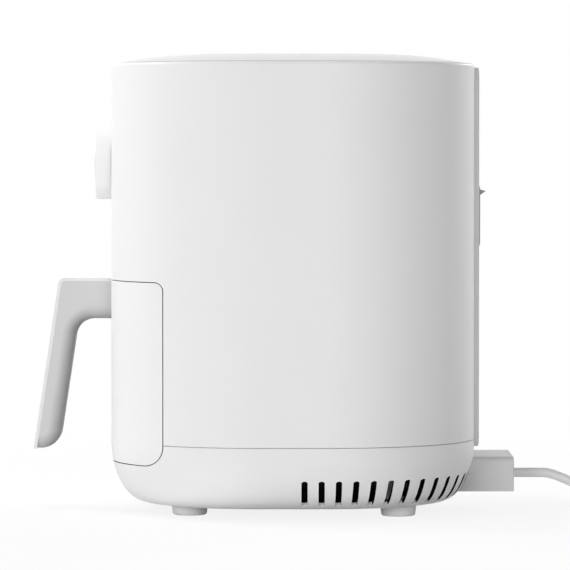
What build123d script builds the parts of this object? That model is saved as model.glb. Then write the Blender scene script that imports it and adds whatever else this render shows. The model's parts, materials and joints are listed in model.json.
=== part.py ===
from build123d import *
import os
from math import cos, pi, radians, sin, sqrt, tan

# Countertop air fryer: a rounded body with a pull-out pan drawer, a front knob, a fan and heater
# above the pan, and a mains cord behind. Millimetres, +Z up, front at -Y, standing on z = 0.

os.makedirs("parts", exist_ok=True)

# Body casing
BODY_WIDTH = 251.0
BODY_DEPTH = 241.6
CORNER_RADIUS = 98.0
WALL = 2.6
UNDER_RADIUS = 20.0
UNDER_TAPER = 29.0
BEND_HEIGHT = 31.4
BEND_RADIUS = 55.0
SEAM_HEIGHT = 48.4
SEAM_GAP = 0.4
LIP_HEIGHT = 4.0
LIP_THICK = 1.6
RIM_HEIGHT = 297.7
RIM_RADIUS = 2.0

# Lid: a low pillow that rises from the rim over a run and is flat in the middle
OVERALL_HEIGHT = 304.0
LID_INSET = 4.0
LID_GAP = 0.5
LID_EDGE = 3.0
LID_WALL = 2.6
LEDGE_WIDTH = 6.0
LEDGE_THICK = 3.0
CROWN_RUN = 70.0
CROWN_POWER = 2.4
CROWN_STEPS = 5

# Feet
FOOT_HEIGHT = 7.0
FOOT_RADIUS = 12.3
FOOT_TAPER = 1.2
FOOT_EDGE = 1.8
FOOT_SPIGOT = 4.0
FOOT_FRONT_SPREAD = 58.0
FOOT_REAR_SPREAD = 66.0
FOOT_FRONT_DEPTH = 68.0
FOOT_REAR_DEPTH = 69.3

# Air-intake slots round the rear half of the base
SLOT_WIDTH = 4.0
SLOT_PITCH = 10.9
SLOT_GROWTH = 0.17
SLOT_COUNT = 13
SLOT_FIRST = 7.4
SLOT_TOP = 17.7
SLOT_BOTTOM = -17.2
SLOT_RISE = 1.5
SLOT_REACH = 45.0
SLOT_AIM = 0.75

# Rear cover plate, exhaust grille and spacer block
COVER_WIDTH = 70.0
COVER_PROUD = 3.0
COVER_LAP = 5.4
COVER_SCREW_RISE = 8.8
COVER_TOP = 295.2
COVER_CORNER = 8.0
COVER_EDGE = 1.2
GRILLE_WIDTH = 58.0
GRILLE_HEIGHT = 39.6
GRILLE_MIDDLE = 196.3
GRILLE_PROUD = 0.9
GRILLE_CORNER = 4.0
GRILLE_BORDER = 5.0
LOUVRE_COUNT = 5
LOUVRE_GAP = 3.2
FIN_REACH = 4.0
FIN_THICK = 3.8
FIN_DROP = 3.9
FIN_TIP_RISE = 0.8
BLOCK_WIDTH = 71.0
BLOCK_BOTTOM = 13.3
BLOCK_TOP = 36.3
BLOCK_REACH = 26.3
BLOCK_SHOULDER = 4.5
BLOCK_EDGE = 0.8
BLOCK_WALL = 2.5

# Drawer front and liner
DRAWER_BOTTOM = 34.6
DRAWER_TOP = 154.0
DRAWER_WRAP = 36.0
DRAWER_LOW_RADIUS = 13.0
DRAWER_HIGH_RADIUS = 5.3
DRAWER_GAP = 0.6
LINER_WALL = 2.4
LINER_RECESS = 1.0

# Handle
HANDLE_WIDTH = 34.0
HANDLE_TOP = 155.0
HANDLE_TOP_REACH = 35.6
HANDLE_REACH = 52.8
HANDLE_BOTTOM = 40.5
ARM_UNDERSIDE = 127.5
GRIP_THICK = 16.7
STRIP_THICK = 2.3
HANDLE_FRONT_ROUND = 4.5
HANDLE_ARMPIT = 13.0
HANDLE_HEEL = 14.0
HANDLE_SOFT_EDGE = 9.0
STRIP_EDGE = 0.8

# Knob and display
KNOB_HEIGHT = 231.3
KNOB_RADIUS = 24.0
KNOB_REACH = 13.1
KNOB_DOME = 2.2
KNOB_EDGE = 0.8
KNOB_STANDOFF = 0.5
LENS_RADIUS = 18.5
LENS_THICK = 3.0
LENS_TRAVEL = 0.8
SLEEVE_RADIUS = 21.0
SLEEVE_DEPTH = 12.0
RETAINER_RADIUS = 25.0
RETAINER_THICK = 2.0
ENCODER_RADIUS = 27.0
ENCODER_DEPTH = 8.0
BOARD_WIDTH = 76.0
BOARD_HEIGHT = 72.0
BOARD_DEPTH = 18.0
BOARD_THICK = 1.6
BOARD_HOLE_INSET = 5.0
BOSS_RADIUS = 3.2

# Pan, crisper plate and the bay round them
PAN_WIDTH = 164.0
PAN_DEPTH = 178.0
PAN_HEIGHT = 98.0
PAN_CORNER = 38.0
PAN_WALL = 1.5
PAN_UNDER_RADIUS = 12.0
PAN_RIM = 2.5
CRISPER_THICK = 1.5
CRISPER_LIFT = 6.0
CRISPER_GAP = 1.5
CRISPER_HOLE = 3.0
CRISPER_PITCH = 17.0
FINGER_HOLE = 14.0
BUMPER_RADIUS = 5.0
MOUTH_GAP = 1.5
FRAME_STANDOFF = 2.0
FRAME_WALL = 2.5
DECK_HEIGHT = 39.0
CHAMBER_WALL = 1.2
CHAMBER_HEIGHT = 167.0
CHAMBER_CORNER = 44.0
CHAMBER_SIDE_AIR = 2.5
CHAMBER_REAR_AIR = 6.0
RUNNER_WIDTH = 10.0
RUNNER_HEIGHT = 3.5
RUNNER_SPREAD = 55.0
POST_RADIUS = 5.0
POST_SPREAD_X = 50.0
POST_SPREAD_Y = 62.0

# Fan, motor and heater
SHAFT_RADIUS = 4.0
MOTOR_RADIUS = 27.0
MOTOR_HEIGHT = 34.0
BRACKET_SIZE = 124.0
BRACKET_RISE = 20.0
BRACKET_THICK = 2.0
BRACKET_LEG = 4.0
COOLING_RADIUS = 45.0
COOLING_HEIGHT = 11.0
COOLING_BLADES = 9
COOLING_LIFT = 4.0
HOT_FAN_RADIUS = 58.0
HOT_FAN_HEIGHT = 14.0
HOT_FAN_BLADES = 8
HOT_FAN_DROP = 4.0
FAN_HUB = 10.0
FAN_SHEET = 1.2
HEATER_TUBE = 3.2
HEATER_RADIUS = 67.0
HEATER_BEND = 10.0
HEATER_OPENING = 40.0
HEATER_DROP = 30.0
GUARD_RADIUS = 80.0
GUARD_THICK = 1.5
GUARD_DROP = 42.0
GUARD_SLOTS = 18
GUARD_LEG = 2.5
SENSOR_RADIUS = 2.0
SENSOR_LENGTH = 18.0
CUTOUT_RADIUS = 8.0
CUTOUT_HEIGHT = 9.0
POWER_BOARD_WIDTH = 104.0
POWER_BOARD_DEPTH = 27.0
POWER_BOARD_LIFT = 12.0
SHIELD_WIDTH = 120.0
SHIELD_HEIGHT = 40.0
SHIELD_THICK = 1.0
SHIELD_FOOT = 10.0

# Interlock switch and screws
SWITCH_SIZE = (6.4, 16.0, 20.0)
SWITCH_HEIGHT = 110.0
PLUNGER_RADIUS = 1.5
PLUNGER_TRAVEL = 1.5
SCREW_RADIUS = 1.75
SCREW_HEAD = 3.2
SCREW_HEAD_THICK = 2.0

# Mains cord, its coil, tie and plug
CORD_DIAMETER = 6.4
CORD_HEIGHT = 23.3
GROMMET_RADIUS = 5.0
GROMMET_FLANGE = 6.8
COIL_GAP = 0.8
COIL_INNER = 27.0
COIL_TURNS = 4.25
COIL_START = 250.0
TIE_THICK = 0.8
TIE_WIDTH = 9.0
TIE_CORNER = 2.5
TIE_SLACK = 0.9
PLUG_LENGTH = 30.0
PLUG_WIDTH = 28.0
PLUG_TAIL = 28.0
PLUG_COLLAR = 0.4
PLUG_EDGE = 4.0
PIN_RADIUS = 2.4
PIN_LENGTH = 19.0
PIN_SPREAD = 19.0

# Fits
SEAT_GAP = 0.3
SLIDE_GAP = 0.3
RUNNING_GAP = 0.05

# Places worked out from the sizes above; the footprint without the cord is centred on the origin
BODY_Y = (HANDLE_REACH - BLOCK_REACH) / 2
FRONT_Y = BODY_Y - BODY_DEPTH / 2
REAR_Y = BODY_Y + BODY_DEPTH / 2
LEDGE_TOP = RIM_HEIGHT - LID_EDGE
LEDGE_BASE = LEDGE_TOP - LEDGE_THICK
DRAWER_BACK = FRONT_Y + DRAWER_WRAP
LINER_BACK = DRAWER_BACK - LINER_RECESS
FRAME_FRONT = DRAWER_BACK + FRAME_STANDOFF
FRAME_BACK = FRAME_FRONT + FRAME_WALL
FRAME_TOP = DRAWER_TOP + DRAWER_GAP + SEAT_GAP + FRAME_WALL
FRAME_BOTTOM = DRAWER_BOTTOM - DRAWER_GAP - FRAME_WALL
PAN_BOTTOM = DECK_HEIGHT + CHAMBER_WALL + RUNNER_HEIGHT + SLIDE_GAP
PAN_TOP = PAN_BOTTOM + PAN_HEIGHT
PAN_Y = LINER_BACK + PAN_DEPTH / 2
MOUTH_TOP = PAN_TOP + MOUTH_GAP
MOUTH_BOTTOM = PAN_BOTTOM - MOUTH_GAP
MOUTH_HALF = PAN_WIDTH / 2 + PAN_RIM + MOUTH_GAP
CHAMBER_HALF = PAN_WIDTH / 2 + PAN_RIM + CHAMBER_SIDE_AIR + CHAMBER_WALL
CHAMBER_BACK = LINER_BACK + PAN_DEPTH + CHAMBER_REAR_AIR + CHAMBER_WALL
CHAMBER_TOP = DECK_HEIGHT + CHAMBER_HEIGHT
ROOF_UNDER = CHAMBER_TOP - CHAMBER_WALL
SCREW_HOLE = SCREW_RADIUS + RUNNING_GAP
POST_SPOTS = [(x, BODY_Y + y) for x in (-POST_SPREAD_X, POST_SPREAD_X) for y in (-POST_SPREAD_Y, POST_SPREAD_Y)]


def upright(y):
    """Vertical plane square to the depth, at depth y, facing the front."""
    return Plane.XZ.offset(-y)


def level(z):
    """Horizontal plane at height z."""
    return Plane.XY.offset(z)


def body_outline(inset, mode=Mode.ADD):
    """Plan of the body, drawn in all round by inset."""
    with Locations((0, BODY_Y)):
        RectangleRounded(BODY_WIDTH - 2 * inset, BODY_DEPTH - 2 * inset, CORNER_RADIUS - inset, mode=mode)


def body_form(inset, top):
    """Closed form of the body up to a height, drawn in by inset on its sides and underside."""
    bend = BEND_HEIGHT + inset * tan(radians(UNDER_TAPER / 2))
    with BuildPart() as form:
        with BuildSketch(level(bend)):
            body_outline(inset)
        extrude(amount=top - bend)
        with BuildSketch(level(bend)):
            body_outline(inset)
        extrude(amount=FOOT_HEIGHT + inset - bend, taper=UNDER_TAPER)
        fillet(form.edges().filter_by_position(Axis.Z, bend - WALL, bend + WALL), BEND_RADIUS - inset)
        fillet(form.edges().group_by(Axis.Z)[0], UNDER_RADIUS - inset)
    return form.part


def drawer_profile(grow):
    """Side view of the drawer front, grown all round and running out past the front of the body."""
    back = DRAWER_BACK + grow
    fore = FRONT_Y - WALL
    low = DRAWER_BOTTOM - grow
    high = DRAWER_TOP + grow
    with Locations(((fore + back) / 2, (low + high) / 2)):
        Rectangle(back - fore, high - low)
    fillet(vertices().group_by(Axis.X)[-1].sort_by(Axis.Y)[0], DRAWER_LOW_RADIUS + grow)
    fillet(vertices().group_by(Axis.X)[-1].sort_by(Axis.Y)[-1], DRAWER_HIGH_RADIUS + grow)


def chamber_outline(inset):
    """Plan of the inner chamber, square in front and rounded behind."""
    with Locations((0, (FRAME_BACK + CHAMBER_BACK) / 2)):
        Rectangle(2 * (CHAMBER_HALF - inset), CHAMBER_BACK - FRAME_BACK - 2 * inset)
    fillet(vertices().group_by(Axis.Y)[-1], CHAMBER_CORNER - inset)


def pan_outline(inset):
    """Plan of the pan, drawn in by inset, or grown where inset is negative."""
    with Locations((0, PAN_Y)):
        RectangleRounded(PAN_WIDTH - 2 * inset, PAN_DEPTH - 2 * inset, PAN_CORNER - inset)


def screw(place, length):
    """Pan-head screw whose shank runs along a plane's normal from its origin, with its head behind it."""
    with BuildSketch(place) as shank:
        Circle(SCREW_RADIUS)
    extrude(shank.sketch, amount=length)
    with BuildSketch(place) as head:
        Circle(SCREW_HEAD)
    extrude(head.sketch, amount=-SCREW_HEAD_THICK)


outer_form = body_form(0, RIM_HEIGHT)
hollow_form = body_form(WALL, LEDGE_BASE)
lining_form = body_form(WALL + SEAT_GAP, LEDGE_BASE)

# Upper housing: the tall wall with the drawer mouth, the knob hole and the exhaust window
BOARD_FRONT = FRONT_Y + BOARD_DEPTH
BOARD_SPOTS = [
    (x, KNOB_HEIGHT + z)
    for x in (BOARD_HOLE_INSET - BOARD_WIDTH / 2, BOARD_WIDTH / 2 - BOARD_HOLE_INSET)
    for z in (BOARD_HOLE_INSET - BOARD_HEIGHT / 2, BOARD_HEIGHT / 2 - BOARD_HOLE_INSET)
]
COVER_BOTTOM = SEAM_HEIGHT - COVER_LAP
COVER_SPOTS = [
    (x, z)
    for x in (COVER_CORNER - COVER_WIDTH / 2, COVER_WIDTH / 2 - COVER_CORNER)
    for z in (SEAM_HEIGHT + COVER_SCREW_RISE, COVER_TOP - COVER_CORNER)
]
with BuildPart() as upper_housing:
    add(outer_form)
    fillet(upper_housing.edges().group_by(Axis.Z)[-1], RIM_RADIUS)
    add(hollow_form, mode=Mode.SUBTRACT)
    with BuildSketch(level(LEDGE_BASE)):
        body_outline(LID_INSET + LEDGE_WIDTH)
    extrude(amount=LEDGE_THICK, mode=Mode.SUBTRACT)
    with BuildSketch(level(LEDGE_TOP)):
        body_outline(LID_INSET)
    extrude(amount=LID_EDGE, mode=Mode.SUBTRACT)
    split(bisect_by=level(SEAM_HEIGHT + SEAM_GAP / 2), keep=Keep.TOP)
    with BuildSketch(Plane.YZ):
        drawer_profile(DRAWER_GAP)
    extrude(amount=BODY_WIDTH, both=True, mode=Mode.SUBTRACT)
    with BuildSketch(upright(BOARD_FRONT)):
        with Locations(*BOARD_SPOTS):
            Circle(BOSS_RADIUS)
    extrude(until=Until.NEXT)
    with BuildSketch(upright(FRONT_Y + WALL)):
        with Locations((0, KNOB_HEIGHT)):
            Circle(SLEEVE_RADIUS + RUNNING_GAP)
    extrude(amount=WALL, mode=Mode.SUBTRACT)
    with BuildSketch(upright(REAR_Y)):
        with Locations((0, GRILLE_MIDDLE)):
            Rectangle(GRILLE_WIDTH - 2 * GRILLE_BORDER, GRILLE_HEIGHT - 2 * GRILLE_BORDER)
        with Locations(*COVER_SPOTS):
            Circle(SCREW_HOLE)
    extrude(amount=2 * WALL, mode=Mode.SUBTRACT)
upper_housing.part.label = "upper_housing"
export_step(upper_housing.part, "parts/upper_housing.step")


def crown(inset, base):
    """Pillow form of the lid above a height, drawn in and lowered by inset."""
    edge = LID_INSET + LID_GAP + inset
    rim = RIM_HEIGHT - inset
    rise = OVERALL_HEIGHT - RIM_HEIGHT
    with BuildPart() as form:
        with BuildSketch(level(base)):
            body_outline(edge)
        extrude(amount=rim - base)
        for step in range(CROWN_STEPS + 1):
            share = step / CROWN_STEPS
            with BuildSketch(level(rim + rise * (1 - (1 - share) ** CROWN_POWER))):
                body_outline(edge + CROWN_RUN * share)
        loft()
    return form.part


lid_outside = crown(0, LEDGE_TOP)
lid_inside = crown(LID_WALL, LEDGE_TOP)
with BuildPart() as top_cover:
    add(lid_outside)
    add(lid_inside, mode=Mode.SUBTRACT)
top_cover.part.label = "top_cover"
export_step(top_cover.part, "parts/top_cover.step")


def slot_plane(arc, side):
    """Plane facing inward across the base wall, at a distance along the outline from one side's middle."""
    flat = BODY_DEPTH / 2 - CORNER_RADIUS
    turn = max(0.0, (arc - flat) / CORNER_RADIUS)
    x = BODY_WIDTH / 2 - CORNER_RADIUS + CORNER_RADIUS * cos(turn)
    y = BODY_Y + min(arc, flat) + CORNER_RADIUS * sin(turn)
    out = Vector(side * cos(SLOT_AIM * turn), sin(SLOT_AIM * turn), 0)
    return Plane(Vector(side * x, y, 0) + out * WALL, x_dir=Vector(0, 0, 1).cross(-out), z_dir=-out)


def seam_lip(inset):
    """Plan of the lip behind the seam, from an inset inward, open where the drawer bay is."""
    body_outline(inset)
    body_outline(WALL + LIP_THICK, mode=Mode.SUBTRACT)
    with Locations((0, FRAME_BACK + SEAT_GAP - BODY_DEPTH / 2)):
        Rectangle(BODY_WIDTH, BODY_DEPTH, mode=Mode.SUBTRACT)


# Base shell: the bowl under the seam, with intake slots, posts for the chamber and foot sockets
FOOT_SPOTS = {
    "front_left": (-FOOT_FRONT_SPREAD, BODY_Y - FOOT_FRONT_DEPTH),
    "front_right": (FOOT_FRONT_SPREAD, BODY_Y - FOOT_FRONT_DEPTH),
    "rear_left": (-FOOT_REAR_SPREAD, BODY_Y + FOOT_REAR_DEPTH),
    "rear_right": (FOOT_REAR_SPREAD, BODY_Y + FOOT_REAR_DEPTH),
}
with BuildPart() as base_shell:
    add(outer_form)
    add(hollow_form, mode=Mode.SUBTRACT)
    split(bisect_by=level(SEAM_HEIGHT - SEAM_GAP / 2), keep=Keep.BOTTOM)
    with BuildSketch(level(SEAM_HEIGHT - LIP_HEIGHT)):
        seam_lip(WALL / 2)
    extrude(amount=LIP_HEIGHT - SEAM_GAP / 2)
    with BuildSketch(level(SEAM_HEIGHT - LIP_HEIGHT)):
        seam_lip(WALL + SEAT_GAP)
    extrude(amount=2 * LIP_HEIGHT)
    with BuildSketch(Plane.YZ):
        drawer_profile(DRAWER_GAP)
    extrude(amount=BODY_WIDTH, both=True, mode=Mode.SUBTRACT)
    with BuildSketch(level(FOOT_HEIGHT + WALL / 2)):
        with Locations(*POST_SPOTS):
            Circle(POST_RADIUS)
    extrude(amount=DECK_HEIGHT - FOOT_HEIGHT - WALL / 2)
    with BuildSketch(level(FOOT_HEIGHT)):
        with Locations(*POST_SPOTS):
            Circle(SCREW_HOLE)
    extrude(amount=DECK_HEIGHT - FOOT_HEIGHT, mode=Mode.SUBTRACT)
    with BuildSketch(level(FOOT_HEIGHT)):
        with Locations(*POST_SPOTS):
            Circle(SCREW_HEAD + SEAT_GAP)
    extrude(amount=SCREW_HEAD_THICK + SEAT_GAP, mode=Mode.SUBTRACT)
    with BuildSketch(level(0)):
        with Locations(*FOOT_SPOTS.values()):
            Circle(FOOT_SPIGOT + RUNNING_GAP)
    extrude(amount=BEND_HEIGHT, mode=Mode.SUBTRACT)
    for count in range(SLOT_COUNT):
        for side in (-1, 1):
            wall_plane = slot_plane(SLOT_FIRST + count * (SLOT_PITCH + SLOT_GROWTH * count), side)
            with BuildSketch(wall_plane):
                with Locations((0, (SLOT_TOP + SLOT_BOTTOM) / 2)):
                    SlotOverall(SLOT_TOP - SLOT_BOTTOM, SLOT_WIDTH, rotation=90)
            extrude(amount=SLOT_REACH, dir=wall_plane.z_dir + Vector(0, 0, SLOT_RISE), mode=Mode.SUBTRACT)
base_shell.part.label = "base_shell"
export_step(base_shell.part, "parts/base_shell.step")


# Feet: short tapered pads under the base, each with a spigot through the shell
FOOT_PROFILE = [
    (0, 0),
    (FOOT_RADIUS - FOOT_TAPER, 0),
    (FOOT_RADIUS, FOOT_HEIGHT + WALL),
    (0, FOOT_HEIGHT + WALL),
]
for corner, (foot_x, foot_y) in FOOT_SPOTS.items():
    with BuildPart() as foot:
        with BuildSketch(Plane((foot_x, foot_y, 0), x_dir=(1, 0, 0), z_dir=(0, -1, 0))):
            with BuildLine():
                Polyline(*FOOT_PROFILE, close=True)
            make_face()
            fillet(vertices().group_by(Axis.Y)[0].sort_by(Axis.X)[-1], FOOT_EDGE)
        revolve(axis=Axis((foot_x, foot_y, 0), (0, 0, 1)))
        add(outer_form, mode=Mode.SUBTRACT)
        with BuildSketch(level(FOOT_EDGE)):
            with Locations((foot_x, foot_y)):
                Circle(FOOT_SPIGOT)
        extrude(amount=FOOT_HEIGHT + 2 * WALL - FOOT_EDGE)
    foot.part.label = f"foot_{corner}"
    export_step(foot.part, f"parts/foot_{corner}.step")

# Rear cover plate on the flat of the back
with BuildPart() as rear_cover:
    with BuildSketch(upright(REAR_Y + COVER_PROUD)):
        with Locations((0, (COVER_BOTTOM + COVER_TOP) / 2)):
            RectangleRounded(COVER_WIDTH, COVER_TOP - COVER_BOTTOM, COVER_CORNER)
    extrude(amount=COVER_PROUD + WALL)
    fillet(rear_cover.edges().group_by(Axis.Y)[-1], COVER_EDGE)
    add(outer_form, mode=Mode.SUBTRACT)
    with BuildSketch(upright(REAR_Y + COVER_PROUD)):
        with Locations((0, GRILLE_MIDDLE)):
            RectangleRounded(GRILLE_WIDTH + 2 * SEAT_GAP, GRILLE_HEIGHT + 2 * SEAT_GAP, GRILLE_CORNER + SEAT_GAP)
        with Locations(*COVER_SPOTS):
            Circle(SCREW_HOLE)
    extrude(amount=COVER_PROUD + WALL, mode=Mode.SUBTRACT)
    with BuildSketch(upright(REAR_Y + COVER_PROUD)):
        with Locations(*COVER_SPOTS):
            Circle(SCREW_HEAD + SEAT_GAP)
    extrude(amount=SCREW_HEAD_THICK, mode=Mode.SUBTRACT)
rear_cover.part.label = "rear_cover"
export_step(rear_cover.part, "parts/rear_cover.step")

# Exhaust grille: a raised louvred panel with a pointed fin along its top
GRILLE_FACE = REAR_Y + COVER_PROUD + GRILLE_PROUD
LOUVRE_PITCH = (GRILLE_HEIGHT - 2 * GRILLE_BORDER) / LOUVRE_COUNT
FIN_HEIGHT = GRILLE_MIDDLE + GRILLE_HEIGHT / 2 - FIN_DROP
with BuildPart() as exhaust_grille:
    with BuildSketch(upright(GRILLE_FACE)):
        with Locations((0, GRILLE_MIDDLE)):
            RectangleRounded(GRILLE_WIDTH, GRILLE_HEIGHT, GRILLE_CORNER)
    extrude(amount=GRILLE_FACE - REAR_Y)
    fillet(exhaust_grille.edges().group_by(Axis.Y)[-1], GRILLE_PROUD / 2)
    with BuildSketch(upright(GRILLE_FACE)):
        with Locations((0, GRILLE_MIDDLE)):
            with GridLocations(0, LOUVRE_PITCH, 1, LOUVRE_COUNT):
                SlotOverall(GRILLE_WIDTH - 2 * GRILLE_BORDER, LOUVRE_GAP)
    extrude(amount=GRILLE_FACE - REAR_Y, mode=Mode.SUBTRACT)
    with BuildSketch(Plane.YZ):
        with BuildLine():
            Polyline(
                (GRILLE_FACE, FIN_HEIGHT + FIN_THICK / 2),
                (GRILLE_FACE + FIN_REACH, FIN_HEIGHT + FIN_TIP_RISE),
                (GRILLE_FACE, FIN_HEIGHT - FIN_THICK / 2),
                close=True,
            )
        make_face()
    extrude(amount=GRILLE_WIDTH / 2 - GRILLE_CORNER, both=True)
exhaust_grille.part.label = "exhaust_grille"
export_step(exhaust_grille.part, "parts/exhaust_grille.step")

# Rear spacer block: a hollow box that fits the rounded base and lets the cord out
BLOCK_END = REAR_Y + BLOCK_REACH
with BuildPart() as rear_block:
    with BuildSketch(upright(BLOCK_END)):
        with Locations((0, (BLOCK_BOTTOM + BLOCK_TOP) / 2)):
            Rectangle(BLOCK_WIDTH, BLOCK_TOP - BLOCK_BOTTOM)
    extrude(amount=BLOCK_REACH + UNDER_RADIUS)
    fillet(rear_block.faces().sort_by(Axis.Z)[-1].edges().filter_by(Axis.Y), BLOCK_SHOULDER)
    fillet(rear_block.faces().sort_by(Axis.Y)[-1].edges(), BLOCK_EDGE)
    with BuildSketch(upright(BLOCK_END - BLOCK_WALL)):
        with Locations((0, (BLOCK_BOTTOM + BLOCK_TOP) / 2)):
            Rectangle(BLOCK_WIDTH - 2 * BLOCK_WALL, BLOCK_TOP - BLOCK_BOTTOM - 2 * BLOCK_WALL)
    extrude(amount=BLOCK_REACH + UNDER_RADIUS, mode=Mode.SUBTRACT)
    add(outer_form, mode=Mode.SUBTRACT)
    with BuildSketch(upright(BLOCK_END)):
        with Locations((0, CORD_HEIGHT)):
            Circle(GROMMET_RADIUS + RUNNING_GAP)
    extrude(amount=BLOCK_WALL, mode=Mode.SUBTRACT)
rear_block.part.label = "rear_block"
export_step(rear_block.part, "parts/rear_block.step")

with BuildPart() as cord_grommet:
    with BuildSketch(upright(BLOCK_END)):
        with Locations((0, CORD_HEIGHT)):
            Circle(GROMMET_RADIUS)
    extrude(amount=2 * BLOCK_WALL)
    with BuildSketch(upright(BLOCK_END - BLOCK_WALL)):
        with Locations((0, CORD_HEIGHT)):
            Circle(GROMMET_FLANGE)
    extrude(amount=BLOCK_WALL)
cord_grommet.part.label = "cord_grommet"
export_step(cord_grommet.part, "parts/cord_grommet.step")

# Drawer front: the piece of the body wall that pulls out
HANDLE_SCREWS = [(x, (HANDLE_TOP + ARM_UNDERSIDE) / 2) for x in (-HANDLE_WIDTH / 4, HANDLE_WIDTH / 4)]
with BuildPart() as drawer_front:
    add(outer_form)
    add(hollow_form, mode=Mode.SUBTRACT)
    with BuildSketch(Plane.YZ):
        drawer_profile(0)
    extrude(amount=BODY_WIDTH, both=True, mode=Mode.INTERSECT)
    with BuildSketch(upright(FRONT_Y + WALL)):
        with Locations(*HANDLE_SCREWS):
            Circle(SCREW_HOLE)
    extrude(amount=WALL, mode=Mode.SUBTRACT)
drawer_front.part.label = "drawer_front"
export_step(drawer_front.part, "parts/drawer_front.step")

# Drawer liner: a tray that closes the back of the drawer front and carries the pan
PAN_SCREWS = [(x, PAN_BOTTOM + PAN_HEIGHT / 2) for x in (-PAN_WIDTH / 6, PAN_WIDTH / 6)]
with BuildPart() as drawer_liner:
    add(lining_form)
    with BuildSketch(Plane.YZ):
        drawer_profile(-LINER_RECESS)
    extrude(amount=BODY_WIDTH, both=True, mode=Mode.INTERSECT)
    with BuildSketch(Plane.YZ):
        drawer_profile(-LINER_RECESS - LINER_WALL)
    extrude(amount=BODY_WIDTH, both=True, mode=Mode.SUBTRACT)
    with BuildSketch(upright(LINER_BACK)):
        with Locations(*PAN_SCREWS):
            Circle(SCREW_HOLE)
    extrude(amount=LINER_WALL, mode=Mode.SUBTRACT)
drawer_liner.part.label = "drawer_liner"
export_step(drawer_liner.part, "parts/drawer_liner.step")

# Handle: a bent grip under a thin strip that covers its top and front
HANDLE_LEAN = (HANDLE_REACH - HANDLE_TOP_REACH) / (HANDLE_TOP - HANDLE_BOTTOM)
HANDLE_SLANT = sqrt(1 + HANDLE_LEAN**2)


def handle_front(height, depth):
    """Depth coordinate of the leaning front of the handle at a height, at a depth below its surface."""
    return FRONT_Y - HANDLE_TOP_REACH - (HANDLE_TOP - height) * HANDLE_LEAN + depth * HANDLE_SLANT


def handle_outline(inset):
    """Side view of the handle, with its top and front drawn in by inset."""
    top = HANDLE_TOP - inset
    Polygon(
        (FRONT_Y, top),
        (handle_front(top, inset), top),
        (handle_front(HANDLE_BOTTOM, inset), HANDLE_BOTTOM),
        (handle_front(HANDLE_BOTTOM, GRIP_THICK), HANDLE_BOTTOM),
        (handle_front(ARM_UNDERSIDE, GRIP_THICK), ARM_UNDERSIDE),
        (FRONT_Y, ARM_UNDERSIDE),
        align=None,
    )
    rounds = [
        ((handle_front(top, inset), top), HANDLE_FRONT_ROUND - inset),
        ((handle_front(HANDLE_BOTTOM, GRIP_THICK), HANDLE_BOTTOM), HANDLE_HEEL),
        ((handle_front(ARM_UNDERSIDE, GRIP_THICK), ARM_UNDERSIDE), HANDLE_ARMPIT),
    ]
    for corner, radius in rounds:
        fillet(vertices().sort_by_distance(corner)[0], radius)


with BuildPart() as handle_grip:
    with BuildSketch(Plane.YZ):
        handle_outline(STRIP_THICK)
    extrude(amount=HANDLE_WIDTH / 2, both=True)
    fillet(handle_grip.edges().filter_by(Axis.Y).group_by(Axis.Z)[1], HANDLE_SOFT_EDGE)
    with BuildSketch(upright(FRONT_Y)):
        with Locations(*HANDLE_SCREWS):
            Circle(SCREW_HOLE)
    extrude(amount=HANDLE_TOP_REACH / 2, mode=Mode.SUBTRACT)
handle_grip.part.label = "handle_grip"
export_step(handle_grip.part, "parts/handle_grip.step")

with BuildPart() as handle_strip:
    with BuildSketch(Plane.YZ):
        handle_outline(0)
    extrude(amount=HANDLE_WIDTH / 2, both=True)
    with BuildSketch(Plane.YZ):
        handle_outline(STRIP_THICK)
    extrude(amount=HANDLE_WIDTH / 2, both=True, mode=Mode.SUBTRACT)
    fillet(handle_strip.edges().filter_by(Axis.Y).group_by(Axis.Z)[-1], STRIP_EDGE)
handle_strip.part.label = "handle_strip"
export_step(handle_strip.part, "parts/handle_strip.step")

with BuildPart() as handle_screws:
    for x, z in HANDLE_SCREWS:
        screw(Plane((x, FRONT_Y + WALL, z), x_dir=(1, 0, 0), z_dir=(0, -1, 0)), WALL + HANDLE_TOP_REACH / 2)
handle_screws.part.label = "handle_screws"
export_step(handle_screws.part, "parts/handle_screws.step")

# Rear screws hold the cover plate to the housing
with BuildPart() as rear_screws:
    for x, z in COVER_SPOTS:
        head = REAR_Y + COVER_PROUD - SCREW_HEAD_THICK
        screw(Plane((x, head, z), x_dir=(1, 0, 0), z_dir=(0, -1, 0)), COVER_PROUD + 2 * WALL)
rear_screws.part.label = "rear_screws"
export_step(rear_screws.part, "parts/rear_screws.step")

# Base screws run up the posts into the chamber floor
with BuildPart() as base_screws:
    for x, y in POST_SPOTS:
        head = FOOT_HEIGHT + SEAT_GAP + SCREW_HEAD_THICK
        screw(Plane((x, y, head)), DECK_HEIGHT + CHAMBER_WALL - head)
base_screws.part.label = "base_screws"
export_step(base_screws.part, "parts/base_screws.step")

# Knob: a turning ring with a domed face, a display lens in its middle and a sleeve through the wall
DOME_RADIUS = (KNOB_RADIUS**2 + KNOB_DOME**2) / (2 * KNOB_DOME)
KNOB_BORE = LENS_RADIUS + SLIDE_GAP
KNOB_AXIS = Axis((0, FRONT_Y, KNOB_HEIGHT), (0, -1, 0))


def knob_point(radius, reach):
    """Point of a knob section in the upright middle plane, at a radius and a reach before the wall."""
    return (FRONT_Y - reach, KNOB_HEIGHT + radius)


def dome_point(radius):
    """Point of the domed knob face at a radius."""
    return knob_point(radius, KNOB_REACH - DOME_RADIUS + sqrt(DOME_RADIUS**2 - radius**2))


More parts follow.
